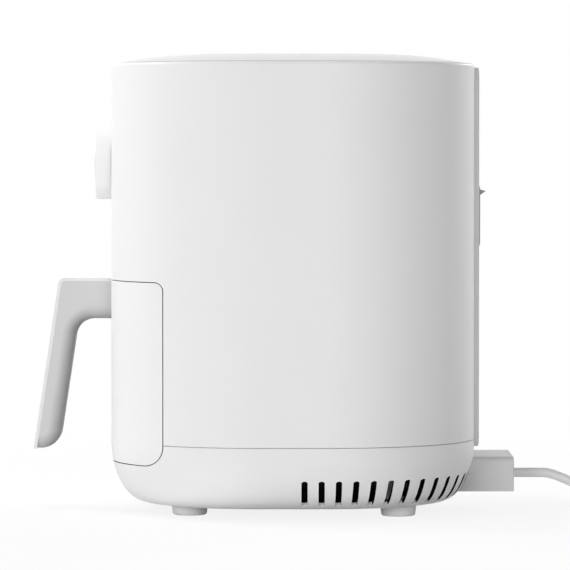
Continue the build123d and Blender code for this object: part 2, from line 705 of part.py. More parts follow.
with BuildPart() as control_knob:
    with BuildSketch(Plane.YZ):
        with BuildLine():
            ThreePointArc(dome_point(KNOB_RADIUS), dome_point((KNOB_RADIUS + KNOB_BORE) / 2), dome_point(KNOB_BORE))
            Polyline(
                dome_point(KNOB_BORE),
                knob_point(KNOB_BORE, -SLEEVE_DEPTH),
                knob_point(SLEEVE_RADIUS, -SLEEVE_DEPTH),
                knob_point(SLEEVE_RADIUS, KNOB_STANDOFF),
                knob_point(KNOB_RADIUS, KNOB_STANDOFF),
                dome_point(KNOB_RADIUS),
            )
        make_face()
        fillet(vertices().sort_by_distance(dome_point(KNOB_RADIUS))[0], KNOB_EDGE)
    revolve(axis=KNOB_AXIS)
control_knob.part.label = "control_knob"
export_step(control_knob.part, "parts/control_knob.step")

with BuildPart() as knob_retainer:
    with BuildSketch(upright(FRONT_Y + WALL + SLIDE_GAP + RETAINER_THICK)):
        with Locations((0, KNOB_HEIGHT)):
            Circle(RETAINER_RADIUS)
            Circle(SLEEVE_RADIUS + RUNNING_GAP, mode=Mode.SUBTRACT)
    extrude(amount=RETAINER_THICK)
knob_retainer.part.label = "knob_retainer"
export_step(knob_retainer.part, "parts/knob_retainer.step")

# Display lens and its carrier press in together
LENS_BACK = FRONT_Y - KNOB_REACH + KNOB_DOME + LENS_THICK
with BuildPart() as display_lens:
    with BuildSketch(Plane.YZ):
        with BuildLine():
            ThreePointArc(dome_point(0), dome_point(LENS_RADIUS / 2), dome_point(LENS_RADIUS))
            Polyline(
                dome_point(LENS_RADIUS),
                (LENS_BACK, KNOB_HEIGHT + LENS_RADIUS),
                (LENS_BACK, KNOB_HEIGHT),
                dome_point(0),
            )
        make_face()
    revolve(axis=KNOB_AXIS)
display_lens.part.label = "display_lens"
export_step(display_lens.part, "parts/display_lens.step")

PANEL_SIZE = (LENS_RADIUS * 1.4, LENS_RADIUS * 0.8)
PANEL_THICK = 1.4
with BuildPart() as display_carrier:
    with BuildSketch(upright(BOARD_FRONT - LENS_TRAVEL - SEAT_GAP)):
        with Locations((0, KNOB_HEIGHT)):
            Circle(LENS_RADIUS)
    extrude(amount=BOARD_FRONT - LENS_TRAVEL - SEAT_GAP - LENS_BACK)
    with BuildSketch(upright(LENS_BACK + PANEL_THICK + SEAT_GAP)):
        with Locations((0, KNOB_HEIGHT)):
            Rectangle(PANEL_SIZE[0] + 2 * SEAT_GAP, PANEL_SIZE[1] + 2 * SEAT_GAP)
    extrude(amount=PANEL_THICK + SEAT_GAP, mode=Mode.SUBTRACT)
display_carrier.part.label = "display_carrier"
export_step(display_carrier.part, "parts/display_carrier.step")

with BuildPart() as display_panel:
    with BuildSketch(upright(LENS_BACK + PANEL_THICK)):
        with Locations((0, KNOB_HEIGHT)):
            Rectangle(*PANEL_SIZE)
    extrude(amount=PANEL_THICK)
display_panel.part.label = "display_panel"
export_step(display_panel.part, "parts/display_panel.step")

with BuildPart() as rotary_encoder:
    with BuildSketch(upright(BOARD_FRONT)):
        with Locations((0, KNOB_HEIGHT)):
            Circle(ENCODER_RADIUS)
            Circle(SLEEVE_RADIUS + RUNNING_GAP, mode=Mode.SUBTRACT)
    extrude(amount=ENCODER_DEPTH)
rotary_encoder.part.label = "rotary_encoder"
export_step(rotary_encoder.part, "parts/rotary_encoder.step")

with BuildPart() as control_board:
    with BuildSketch(upright(BOARD_FRONT + BOARD_THICK)):
        with Locations((0, KNOB_HEIGHT)):
            RectangleRounded(BOARD_WIDTH, BOARD_HEIGHT, BOARD_HOLE_INSET - BOARD_THICK)
    extrude(amount=BOARD_THICK)
control_board.part.label = "control_board"
export_step(control_board.part, "parts/control_board.step")

# Bay surround: the wall behind the drawer front, with a shelf above and below it
with BuildPart() as bay_surround:
    add(lining_form)
    with BuildSketch(Plane.YZ):
        with Locations(((FRONT_Y + FRAME_BACK) / 2, (FRAME_BOTTOM + FRAME_TOP) / 2)):
            Rectangle(FRAME_BACK - FRONT_Y, FRAME_TOP - FRAME_BOTTOM)
    extrude(amount=BODY_WIDTH, both=True, mode=Mode.INTERSECT)
    with BuildSketch(Plane.YZ):
        with Locations(((FRONT_Y + FRAME_FRONT) / 2, (FRAME_BOTTOM + FRAME_TOP) / 2)):
            Rectangle(FRAME_FRONT - FRONT_Y, FRAME_TOP - FRAME_BOTTOM - 2 * FRAME_WALL)
    extrude(amount=BODY_WIDTH, both=True, mode=Mode.SUBTRACT)
    with BuildSketch(upright(FRAME_BACK)):
        with Locations((0, (MOUTH_BOTTOM + MOUTH_TOP) / 2)):
            Rectangle(2 * MOUTH_HALF, MOUTH_TOP - MOUTH_BOTTOM)
        with Locations((CHAMBER_HALF + SWITCH_SIZE[0] / 2 + SEAT_GAP, SWITCH_HEIGHT)):
            Circle(PLUNGER_RADIUS + RUNNING_GAP)
    extrude(amount=FRAME_WALL, mode=Mode.SUBTRACT)
bay_surround.part.label = "bay_surround"
export_step(bay_surround.part, "parts/bay_surround.step")

# Interlock switch behind the surround, with a plunger that the drawer liner presses
SWITCH_X = CHAMBER_HALF + SWITCH_SIZE[0] / 2 + SEAT_GAP
PLUNGER_INSIDE = SWITCH_SIZE[1] / 2
with BuildPart() as interlock_switch:
    with Locations((SWITCH_X, FRAME_BACK + SWITCH_SIZE[1] / 2, SWITCH_HEIGHT)):
        Box(*SWITCH_SIZE)
    with BuildSketch(upright(FRAME_BACK + PLUNGER_INSIDE + PLUNGER_TRAVEL + SEAT_GAP)):
        with Locations((SWITCH_X, SWITCH_HEIGHT)):
            Circle(PLUNGER_RADIUS + RUNNING_GAP)
    extrude(amount=PLUNGER_INSIDE + PLUNGER_TRAVEL + SEAT_GAP, mode=Mode.SUBTRACT)
interlock_switch.part.label = "interlock_switch"
export_step(interlock_switch.part, "parts/interlock_switch.step")

with BuildPart() as interlock_plunger:
    with BuildSketch(upright(FRAME_BACK + PLUNGER_INSIDE)):
        with Locations((SWITCH_X, SWITCH_HEIGHT)):
            Circle(PLUNGER_RADIUS)
    extrude(amount=FRAME_BACK + PLUNGER_INSIDE - LINER_BACK - SLIDE_GAP)
interlock_plunger.part.label = "interlock_plunger"
export_step(interlock_plunger.part, "parts/interlock_plunger.step")

# Inner chamber: the sheet box round the pan, open in front, with the fan and heater under its roof
HEATER_HEIGHT = ROOF_UNDER - HEATER_DROP
HEATER_START = 90 + HEATER_OPENING / 2
DUCT_WIDTH = GRILLE_WIDTH - 2 * GRILLE_BORDER
DUCT_BOTTOM = GRILLE_MIDDLE - GRILLE_HEIGHT / 2 + GRILLE_BORDER
DUCT_TOP = GRILLE_MIDDLE + GRILLE_HEIGHT / 2 - GRILLE_BORDER
SENSOR_SPOT = (-HEATER_RADIUS - HEATER_TUBE - 2 * SENSOR_RADIUS, PAN_Y)
CUTOUT_SPOT = (BRACKET_SIZE / 2 + CUTOUT_RADIUS + SEAT_GAP, PAN_Y)
with BuildLine() as heater_path:
    ring = CenterArc((0, PAN_Y, HEATER_HEIGHT), HEATER_RADIUS, HEATER_START, 360 - HEATER_OPENING)
    rise = Vector(0, 0, HEATER_BEND)
    first = ring @ 0 - (ring % 0) * HEATER_BEND + rise
    last = ring @ 1 + (ring % 1) * HEATER_BEND + rise
    TangentArc(ring @ 0, first, tangent=ring % 0 * -1)
    TangentArc(ring @ 1, last, tangent=ring % 1)
    Line(first, (first.X, first.Y, CHAMBER_TOP + HEATER_BEND))
    Line(last, (last.X, last.Y, CHAMBER_TOP + HEATER_BEND))
with BuildPart() as inner_chamber:
    with BuildSketch(level(DECK_HEIGHT)):
        chamber_outline(0)
    extrude(amount=CHAMBER_HEIGHT)
    with BuildSketch(level(DECK_HEIGHT + CHAMBER_WALL)):
        chamber_outline(CHAMBER_WALL)
    extrude(amount=CHAMBER_HEIGHT - 2 * CHAMBER_WALL, mode=Mode.SUBTRACT)
    with BuildSketch(upright(FRAME_BACK + CHAMBER_WALL)):
        with Locations((0, (DECK_HEIGHT + CHAMBER_WALL + MOUTH_TOP) / 2)):
            Rectangle(2 * MOUTH_HALF, MOUTH_TOP - DECK_HEIGHT - CHAMBER_WALL)
    extrude(amount=CHAMBER_WALL, mode=Mode.SUBTRACT)
    with BuildSketch(upright(CHAMBER_BACK)):
        with Locations((0, (DUCT_BOTTOM + ROOF_UNDER) / 2)):
            Rectangle(DUCT_WIDTH, ROOF_UNDER - DUCT_BOTTOM)
    extrude(amount=CHAMBER_WALL, mode=Mode.SUBTRACT)
    with BuildSketch(level(ROOF_UNDER)):
        with Locations((0, PAN_Y)):
            Circle(SHAFT_RADIUS + SEAT_GAP)
        with Locations((first.X, first.Y), (last.X, last.Y)):
            Circle(HEATER_TUBE + SEAT_GAP)
        with Locations(SENSOR_SPOT):
            Circle(SENSOR_RADIUS + SEAT_GAP)
    extrude(amount=CHAMBER_WALL, mode=Mode.SUBTRACT)
    with BuildSketch(level(DECK_HEIGHT)):
        with Locations(*POST_SPOTS):
            Circle(SCREW_HOLE)
    extrude(amount=CHAMBER_WALL, mode=Mode.SUBTRACT)
inner_chamber.part.label = "inner_chamber"
export_step(inner_chamber.part, "parts/inner_chamber.step")

with BuildPart() as heating_element:
    path = heater_path.wires()[0]
    with BuildSketch(Plane(path @ 0, z_dir=path % 0)):
        Circle(HEATER_TUBE)
    sweep(path=path)
heating_element.part.label = "heating_element"
export_step(heating_element.part, "parts/heating_element.step")

# Runners under the pan
RUNNER_LENGTH = CHAMBER_BACK - CHAMBER_CORNER - FRAME_BACK
for side, x in (("left", -RUNNER_SPREAD), ("right", RUNNER_SPREAD)):
    with BuildPart() as pan_runner:
        with BuildSketch(level(DECK_HEIGHT + CHAMBER_WALL)):
            with Locations((x, FRAME_BACK + RUNNER_LENGTH / 2)):
                SlotOverall(RUNNER_LENGTH, RUNNER_WIDTH, rotation=90)
        extrude(amount=RUNNER_HEIGHT)
    pan_runner.part.label = f"pan_runner_{side}"
    export_step(pan_runner.part, f"parts/pan_runner_{side}.step")


def pan_form(inset):
    """Closed form of the pan up to its top, drawn in by inset on its sides and underside."""
    with BuildPart() as form:
        with BuildSketch(level(PAN_BOTTOM + inset)):
            pan_outline(inset)
        extrude(amount=PAN_HEIGHT - inset)
        fillet(form.edges().group_by(Axis.Z)[0], PAN_UNDER_RADIUS - inset)
    return form.part


pan_outside = pan_form(0)
pan_inside = pan_form(PAN_WALL)
with BuildPart() as pan:
    add(pan_outside)
    with BuildSketch(level(PAN_TOP)):
        pan_outline(-PAN_RIM)
    extrude(amount=-PAN_WALL)
    split(bisect_by=upright(LINER_BACK), keep=Keep.BOTTOM)
    add(pan_inside, mode=Mode.SUBTRACT)
    with BuildSketch(upright(LINER_BACK + PAN_WALL)):
        with Locations(*PAN_SCREWS):
            Circle(SCREW_HOLE)
    extrude(amount=PAN_WALL, mode=Mode.SUBTRACT)
pan.part.label = "pan"
export_step(pan.part, "parts/pan.step")

with BuildPart() as pan_screws:
    for x, z in PAN_SCREWS:
        screw(Plane((x, LINER_BACK - LINER_WALL, z), x_dir=(1, 0, 0), z_dir=(0, 1, 0)), LINER_WALL + PAN_WALL)
pan_screws.part.label = "pan_screws"
export_step(pan_screws.part, "parts/pan_screws.step")

# Crisper plate on soft bumpers over the pan floor
CRISPER_UNDER = PAN_BOTTOM + PAN_WALL + CRISPER_LIFT
CRISPER_COLUMNS = 2 * int((PAN_WIDTH / 2 - PAN_CORNER / 2) / CRISPER_PITCH + 0.5)
CRISPER_ROWS = 2 * int((PAN_DEPTH / 2 - PAN_CORNER / 2) / CRISPER_PITCH) + 1
with BuildPart() as crisper_plate:
    with BuildSketch(level(CRISPER_UNDER)):
        pan_outline(PAN_WALL + CRISPER_GAP)
        with Locations((0, PAN_Y)):
            Circle(FINGER_HOLE, mode=Mode.SUBTRACT)
            with GridLocations(CRISPER_PITCH, CRISPER_PITCH, CRISPER_COLUMNS, CRISPER_ROWS):
                Circle(CRISPER_HOLE, mode=Mode.SUBTRACT)
    extrude(amount=CRISPER_THICK)
crisper_plate.part.label = "crisper_plate"
export_step(crisper_plate.part, "parts/crisper_plate.step")

with BuildPart() as crisper_bumpers:
    with BuildSketch(level(PAN_BOTTOM + PAN_WALL + SLIDE_GAP)):
        with Locations((0, PAN_Y)):
            with GridLocations(6 * CRISPER_PITCH, 7 * CRISPER_PITCH, 2, 2):
                Circle(BUMPER_RADIUS)
    extrude(amount=CRISPER_LIFT - SLIDE_GAP)
crisper_bumpers.part.label = "crisper_bumpers"
export_step(crisper_bumpers.part, "parts/crisper_bumpers.step")


def fan_wheel(bottom, height, radius, blades):
    """Hub, back sheet and straight radial blades of a fan on the motor's axis."""
    with BuildSketch(level(bottom)) as wheel:
        with Locations((0, PAN_Y)):
            Circle(FAN_HUB)
            with PolarLocations((FAN_HUB - FAN_SHEET + radius) / 2, blades):
                Rectangle(radius - FAN_HUB + FAN_SHEET, FAN_SHEET)
    extrude(wheel.sketch, amount=height)
    with BuildSketch(level(bottom + height)) as sheet:
        with Locations((0, PAN_Y)):
            Circle(radius)
    extrude(sheet.sketch, amount=-FAN_SHEET)
    with BuildSketch(level(bottom)) as bore:
        with Locations((0, PAN_Y)):
            Circle(SHAFT_RADIUS + RUNNING_GAP)
    extrude(bore.sketch, amount=height, mode=Mode.SUBTRACT)


# Fan group: a hot fan under the roof and a cooling fan above it, on one motor shaft
HOT_FAN_BOTTOM = ROOF_UNDER - HOT_FAN_DROP - HOT_FAN_HEIGHT
BRACKET_UNDER = CHAMBER_TOP + BRACKET_RISE
MOTOR_BOTTOM = BRACKET_UNDER + BRACKET_THICK
with BuildPart() as convection_fan:
    fan_wheel(HOT_FAN_BOTTOM, HOT_FAN_HEIGHT, HOT_FAN_RADIUS, HOT_FAN_BLADES)
convection_fan.part.label = "convection_fan"
export_step(convection_fan.part, "parts/convection_fan.step")

with BuildPart() as cooling_fan:
    fan_wheel(CHAMBER_TOP + COOLING_LIFT, COOLING_HEIGHT, COOLING_RADIUS, COOLING_BLADES)
cooling_fan.part.label = "cooling_fan"
export_step(cooling_fan.part, "parts/cooling_fan.step")

with BuildPart() as motor_shaft:
    with BuildSketch(level(HOT_FAN_BOTTOM - SHAFT_RADIUS)):
        with Locations((0, PAN_Y)):
            Circle(SHAFT_RADIUS)
    extrude(amount=MOTOR_BOTTOM + MOTOR_HEIGHT + SHAFT_RADIUS - HOT_FAN_BOTTOM)
motor_shaft.part.label = "motor_shaft"
export_step(motor_shaft.part, "parts/motor_shaft.step")

MOTOR_FLANGE = 2 * (MOTOR_RADIUS + SCREW_HEAD)
with BuildPart() as fan_motor:
    with BuildSketch(level(MOTOR_BOTTOM)):
        with Locations((0, PAN_Y)):
            RectangleRounded(MOTOR_FLANGE, MOTOR_FLANGE, SCREW_HEAD)
            with GridLocations(2 * MOTOR_RADIUS, 2 * MOTOR_RADIUS, 2, 2):
                Circle(SCREW_HOLE, mode=Mode.SUBTRACT)
    extrude(amount=BRACKET_THICK)
    with BuildSketch(level(MOTOR_BOTTOM)):
        with Locations((0, PAN_Y)):
            Circle(MOTOR_RADIUS)
    extrude(amount=MOTOR_HEIGHT)
    with BuildSketch(level(MOTOR_BOTTOM)):
        with Locations((0, PAN_Y)):
            Circle(SHAFT_RADIUS + RUNNING_GAP)
    extrude(amount=MOTOR_HEIGHT, mode=Mode.SUBTRACT)
fan_motor.part.label = "fan_motor"
export_step(fan_motor.part, "parts/fan_motor.step")

LEG_PITCH = BRACKET_SIZE - 4 * BRACKET_LEG
with BuildPart() as motor_bracket:
    with BuildSketch(level(BRACKET_UNDER)):
        with Locations((0, PAN_Y)):
            RectangleRounded(BRACKET_SIZE, BRACKET_SIZE, 2 * BRACKET_LEG)
            Circle(SHAFT_RADIUS + BRACKET_LEG, mode=Mode.SUBTRACT)
            with GridLocations(2 * MOTOR_RADIUS, 2 * MOTOR_RADIUS, 2, 2):
                Circle(SCREW_HOLE, mode=Mode.SUBTRACT)
    extrude(amount=BRACKET_THICK)
    with BuildSketch(level(CHAMBER_TOP)):
        with Locations((0, PAN_Y)):
            with GridLocations(LEG_PITCH, LEG_PITCH, 2, 2):
                Circle(BRACKET_LEG)
    extrude(amount=BRACKET_RISE)
motor_bracket.part.label = "motor_bracket"
export_step(motor_bracket.part, "parts/motor_bracket.step")

with BuildPart() as motor_screws:
    for x in (-MOTOR_RADIUS, MOTOR_RADIUS):
        for y in (PAN_Y - MOTOR_RADIUS, PAN_Y + MOTOR_RADIUS):
            head = Plane((x, y, MOTOR_BOTTOM + BRACKET_THICK), x_dir=(1, 0, 0), z_dir=(0, 0, -1))
            screw(head, 3 * BRACKET_THICK)
motor_screws.part.label = "motor_screws"
export_step(motor_screws.part, "parts/motor_screws.step")

# Heater guard: a slotted disc hung from the roof on three legs
GUARD_TOP = ROOF_UNDER - GUARD_DROP
with BuildPart() as heater_guard:
    with BuildSketch(level(GUARD_TOP)):
        with Locations((0, PAN_Y)):
            Circle(GUARD_RADIUS)
            with PolarLocations(GUARD_RADIUS * 0.6, GUARD_SLOTS):
                SlotOverall(GUARD_RADIUS * 0.55, 3 * GUARD_LEG, mode=Mode.SUBTRACT)
    extrude(amount=-GUARD_THICK)
    with BuildSketch(level(GUARD_TOP)):
        with Locations((0, PAN_Y)):
            with PolarLocations(GUARD_RADIUS - 2 * GUARD_LEG, 3, start_angle=30):
                Circle(GUARD_LEG)
    extrude(amount=GUARD_DROP)
heater_guard.part.label = "heater_guard"
export_step(heater_guard.part, "parts/heater_guard.step")

# Sensors on the roof
with BuildPart() as temperature_sensor:
    with BuildSketch(level(CHAMBER_TOP)):
        with Locations(SENSOR_SPOT):
            Circle(3 * SENSOR_RADIUS)
    extrude(amount=SENSOR_RADIUS)
    with BuildSketch(level(CHAMBER_TOP)):
        with Locations(SENSOR_SPOT):
            Circle(SENSOR_RADIUS)
    extrude(amount=-SENSOR_LENGTH)
temperature_sensor.part.label = "temperature_sensor"
export_step(temperature_sensor.part, "parts/temperature_sensor.step")

with BuildPart() as thermal_cutout:
    with BuildSketch(level(CHAMBER_TOP)):
        with Locations(CUTOUT_SPOT):
            Circle(CUTOUT_RADIUS)
    extrude(amount=CUTOUT_HEIGHT)
thermal_cutout.part.label = "thermal_cutout"
export_step(thermal_cutout.part, "parts/thermal_cutout.step")

# Exhaust duct from the chamber to the grille
with BuildPart() as exhaust_duct:
    with BuildSketch(upright(REAR_Y - WALL)):
        with Locations((0, (DUCT_BOTTOM + DUCT_TOP) / 2)):
            Rectangle(DUCT_WIDTH + 2 * WALL, DUCT_TOP - DUCT_BOTTOM + 2 * WALL)
            Rectangle(DUCT_WIDTH, DUCT_TOP - DUCT_BOTTOM, mode=Mode.SUBTRACT)
    extrude(amount=REAR_Y - WALL - CHAMBER_BACK)
exhaust_duct.part.label = "exhaust_duct"
export_step(exhaust_duct.part, "parts/exhaust_duct.step")

# Power board behind the motor bracket, on four posts
POWER_BOARD_Y = PAN_Y + BRACKET_SIZE / 2 + 2 * SEAT_GAP + POWER_BOARD_DEPTH / 2
POWER_POST_GRID = (POWER_BOARD_WIDTH - 4 * BOSS_RADIUS, POWER_BOARD_DEPTH - 4 * BOSS_RADIUS)
with BuildPart() as power_board:
    with BuildSketch(level(CHAMBER_TOP + POWER_BOARD_LIFT)):
        with Locations((0, POWER_BOARD_Y)):
            Rectangle(POWER_BOARD_WIDTH, POWER_BOARD_DEPTH)
    extrude(amount=BOARD_THICK)
    with BuildSketch(level(CHAMBER_TOP + POWER_BOARD_LIFT + BOARD_THICK)):
        with Locations((-POWER_BOARD_WIDTH / 4, POWER_BOARD_Y)):
            Rectangle(POWER_BOARD_DEPTH, POWER_BOARD_DEPTH / 2)
        with Locations((POWER_BOARD_WIDTH / 4, POWER_BOARD_Y)):
            Circle(POWER_BOARD_DEPTH / 4)
    extrude(amount=POWER_BOARD_LIFT)
power_board.part.label = "power_board"
export_step(power_board.part, "parts/power_board.step")

with BuildPart() as power_board_posts:
    with BuildSketch(level(CHAMBER_TOP)):
        with Locations((0, POWER_BOARD_Y)):
            with GridLocations(*POWER_POST_GRID, 2, 2):
                Circle(BOSS_RADIUS)
    extrude(amount=POWER_BOARD_LIFT)
power_board_posts.part.label = "power_board_posts"
export_step(power_board_posts.part, "parts/power_board_posts.step")

# Heat shield between the chamber and the control board, standing on the surround's upper shelf
SHIELD_Y = BOARD_FRONT + BOARD_THICK + SHIELD_FOOT
with BuildPart() as heat_shield:
    with BuildSketch(upright(SHIELD_Y + SHIELD_THICK)):
        with Locations((0, FRAME_TOP + SHIELD_HEIGHT / 2)):
            Rectangle(SHIELD_WIDTH, SHIELD_HEIGHT)
    extrude(amount=SHIELD_THICK)
    with BuildSketch(level(FRAME_TOP)):
        with Locations((0, SHIELD_Y + SHIELD_THICK - SHIELD_FOOT / 2)):
            Rectangle(SHIELD_WIDTH, SHIELD_FOOT)
    extrude(amount=SHIELD_THICK)
heat_shield.part.label = "heat_shield"
export_step(heat_shield.part, "parts/heat_shield.step")

# Mains cord: straight out of the block, down to the surface and into the coil
CORD_RADIUS = CORD_DIAMETER / 2
COIL_LOW = TIE_THICK + SEAT_GAP + CORD_RADIUS
COIL_HIGH = COIL_LOW + CORD_DIAMETER + COIL_GAP
CORD_ROUTE = [
    Vector(0, BLOCK_END, CORD_HEIGHT),
    Vector(0, 189.0, CORD_HEIGHT),
    Vector(0, 226.0, COIL_LOW),
    Vector(0, COIL_START, COIL_LOW),
]
CORD_ARC_SHARE = 0.45


def corner_radius(before, corner, after):
    """Largest even arc that two runs of the cord leave room for."""
    turn = (corner - before).get_angle(after - corner)
    return CORD_ARC_SHARE * min((corner - before).length, (after - corner).length) / tan(radians(turn / 2))


cord_radii = [corner_radius(*CORD_ROUTE[i : i + 3]) for i in range(len(CORD_ROUTE) - 2)]
print("cord radii", [round(radius, 1) for radius in cord_radii])
with BuildPart() as power_cord:
    with BuildLine() as cord_line:
        FilletPolyline(*CORD_ROUTE, radius=cord_radii)
    with BuildSketch(upright(BLOCK_END)):
        with Locations((0, CORD_HEIGHT)):
            Circle(CORD_RADIUS)
    sweep(path=cord_line.wires()[0])
cord_length = cord_line.wires()[0].length
print("cord volume share", round(power_cord.part.volume / (pi * CORD_RADIUS**2 * cord_length), 4))
power_cord.part.label = "power_cord"
export_step(power_cord.part, "parts/power_cord.step")

# Coil of the rest of the cord: a spiral in on the surface, a climb at its middle, and a spiral out above
COIL_PITCH = CORD_DIAMETER + COIL_GAP
COIL_OUTER = COIL_INNER + COIL_PITCH * COIL_TURNS / 2
COIL_CENTRE = Vector(-COIL_OUTER, COIL_START + CORD_DIAMETER, 0)
COIL_MIDDLE = pi * COIL_TURNS
CLIMB_HALF = pi / 2


def coil_point(angle):
    """Centre of the coiled cord at a turning angle."""
    past = angle - COIL_MIDDLE
    if abs(past) < CLIMB_HALF:
        drift = (past**2 + CLIMB_HALF**2) / (2 * CLIMB_HALF)
        share = 0.5 + 0.5 * sin(pi * past / (2 * CLIMB_HALF))
    else:
        drift = abs(past)
        share = 1.0 if past > 0 else 0.0
    radius = COIL_INNER + COIL_PITCH * drift / (2 * pi)
    height = COIL_LOW + share * (COIL_HIGH - COIL_LOW)
    return COIL_CENTRE + Vector(radius * cos(angle), radius * sin(angle), height)


def coil_tangent(angle):
    """Direction of the coiled cord at a turning angle."""
    nudge = 0.001
    return (coil_point(angle + nudge) - coil_point(angle - nudge)).normalized()


def biarc(start, start_dir, end, end_dir):
    """Two tangent arcs between two points with given directions."""
    chord = end - start
    both = start_dir + end_dir
    spread = 2 * (1 - start_dir.dot(end_dir))
    reach = (sqrt(chord.dot(both) ** 2 + spread * chord.dot(chord)) - chord.dot(both)) / spread
    joint = (start + end + (start_dir - end_dir) * reach) / 2
    TangentArc(start, joint, tangent=start_dir)
    TangentArc(joint, end, tangent=end - end_dir * reach - start - start_dir * reach)


quarter_count = round(4 * COIL_TURNS)
coil_angles = [2 * pi * COIL_TURNS * i / quarter_count for i in range(quarter_count + 1)]
coil_dirs = [coil_tangent(angle) for angle in coil_angles]
coil_dirs[0] = Vector(0, 1, 0)
coil_dirs[-1] = Vector(-1, 0, 0)
COIL_ENTRY = coil_point(coil_angles[0])
COIL_EXIT = coil_point(coil_angles[-1])
PLUG_ENTRY = COIL_EXIT + coil_dirs[-1] * CORD_DIAMETER
with BuildPart() as cord_coil:
    with BuildLine() as coil_line:
        Line(COIL_ENTRY - coil_dirs[0] * CORD_DIAMETER, COIL_ENTRY)
        for i in range(quarter_count):
            biarc(coil_point(coil_angles[i]), coil_dirs[i], coil_point(coil_angles[i + 1]), coil_dirs[i + 1])
        Line(COIL_EXIT, PLUG_ENTRY)
    with BuildSketch(upright(COIL_START)):
        with Locations((0, COIL_LOW)):
            Circle(CORD_RADIUS)
    sweep(path=coil_line.wires()[0])
coil_wire = coil_line.wires()[0]
sample_count = int(coil_wire.length / 3)
coil_samples = [coil_wire @ (i / sample_count) for i in range(sample_count + 1)]
apart = int(sample_count / COIL_TURNS / 2)
least = min(
    (coil_samples[i] - coil_samples[j]).length
    for i in range(sample_count + 1)
    for j in range(i + apart, sample_count + 1)
)
print("coil least gap", round(least - CORD_DIAMETER, 2), "cord length", round(cord_length + coil_wire.length))
print("coil volume share", round(cord_coil.part.volume / (pi * CORD_RADIUS**2 * coil_wire.length), 4))
cord_coil.part.label = "cord_coil"
export_step(cord_coil.part, "parts/cord_coil.step")

# Tie: a strap round the coil on the side away from where the cord comes in
tie_radii = [(coil_point(pi + 2 * pi * turn) - COIL_CENTRE).X for turn in range(int(COIL_TURNS))]
TIE_NEAR = COIL_CENTRE.X + max(tie_radii) + CORD_RADIUS + TIE_SLACK
TIE_FAR = COIL_CENTRE.X + min(tie_radii) - CORD_RADIUS - TIE_SLACK
TIE_HEIGHT = COIL_HIGH + CORD_RADIUS + SEAT_GAP - TIE_THICK
with BuildPart() as cord_tie:
    with BuildSketch(upright(COIL_CENTRE.Y + TIE_WIDTH / 2)):
        with Locations(((TIE_NEAR + TIE_FAR) / 2, TIE_THICK + TIE_HEIGHT / 2)):
            RectangleRounded(TIE_NEAR - TIE_FAR + 2 * TIE_THICK, TIE_HEIGHT + 2 * TIE_THICK, TIE_CORNER + TIE_THICK)
            RectangleRounded(TIE_NEAR - TIE_FAR, TIE_HEIGHT, TIE_CORNER, mode=Mode.SUBTRACT)
    extrude(amount=TIE_WIDTH)
cord_tie.part.label = "cord_tie"
export_step(cord_tie.part, "parts/cord_tie.step")

# Plug: a rounded body with a tapered tail, lying on the surface beside the coil
PLUG_PLANE = Plane(PLUG_ENTRY, x_dir=(0, 1, 0), z_dir=(-1, 0, 0))
with BuildPart() as plug_body:
    with BuildSketch(PLUG_PLANE):
        Circle(CORD_RADIUS + PLUG_COLLAR)
    with BuildSketch(PLUG_PLANE.offset(PLUG_TAIL)):
        Circle(COIL_HIGH - PLUG_EDGE)
    loft()
    with BuildSketch(PLUG_PLANE.offset(PLUG_TAIL)):
        RectangleRounded(PLUG_WIDTH, 2 * COIL_HIGH, PLUG_EDGE)
    extrude(amount=PLUG_LENGTH)
plug_body.part.label = "plug_body"
export_step(plug_body.part, "parts/plug_body.step")

with BuildPart() as plug_pins:
    with BuildSketch(PLUG_PLANE.offset(PLUG_TAIL + PLUG_LENGTH)):
        with GridLocations(PIN_SPREAD, 0, 2, 1):
            Circle(PIN_RADIUS)
    extrude(amount=PIN_LENGTH)
    fillet(plug_pins.edges().group_by(Axis.X)[0], PIN_RADIUS / 2)
plug_pins.part.label = "plug_pins"
export_step(plug_pins.part, "parts/plug_pins.step")
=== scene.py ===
import json
from math import cos, pi, radians, sin

import bpy
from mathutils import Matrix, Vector


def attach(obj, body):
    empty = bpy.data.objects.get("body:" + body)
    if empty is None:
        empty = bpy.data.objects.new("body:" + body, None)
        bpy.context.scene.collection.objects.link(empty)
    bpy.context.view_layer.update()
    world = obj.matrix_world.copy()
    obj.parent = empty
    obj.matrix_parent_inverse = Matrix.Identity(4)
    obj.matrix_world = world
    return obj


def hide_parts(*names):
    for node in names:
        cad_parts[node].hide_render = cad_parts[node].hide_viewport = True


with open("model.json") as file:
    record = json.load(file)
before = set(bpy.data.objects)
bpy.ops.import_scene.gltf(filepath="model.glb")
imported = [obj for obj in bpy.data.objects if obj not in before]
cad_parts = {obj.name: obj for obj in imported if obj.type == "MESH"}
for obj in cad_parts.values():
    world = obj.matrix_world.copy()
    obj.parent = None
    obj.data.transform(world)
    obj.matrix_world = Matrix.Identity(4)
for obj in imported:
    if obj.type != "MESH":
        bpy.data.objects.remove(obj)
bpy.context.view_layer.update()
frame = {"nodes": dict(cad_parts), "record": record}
nodes = frame["nodes"]
MM = 0.001


class Wire:
    """An output socket of a finish. Sums on wires add the Math nodes that work them out."""

    def __init__(self, finish, socket):
        self.finish = finish
        self.socket = socket

    def maths(self, operation, first, second):
        return self.finish.node("ShaderNodeMath", {"operation": operation}, {0: first, 1: second})

    def __add__(self, other):
        return self.maths("ADD", self, other)

    def __radd__(self, other):
        return self.maths("ADD", other, self)

    def __sub__(self, other):
        return self.maths("SUBTRACT", self, other)

    def __rsub__(self, other):
        return self.maths("SUBTRACT", other, self)

    def __mul__(self, other):
        return self.maths("MULTIPLY", self, other)

    def __rmul__(self, other):
        return self.maths("MULTIPLY", other, self)

    def __gt__(self, other):
        return self.maths("GREATER_THAN", self, other)

    def __lt__(self, other):
        return self.maths("LESS_THAN", self, other)


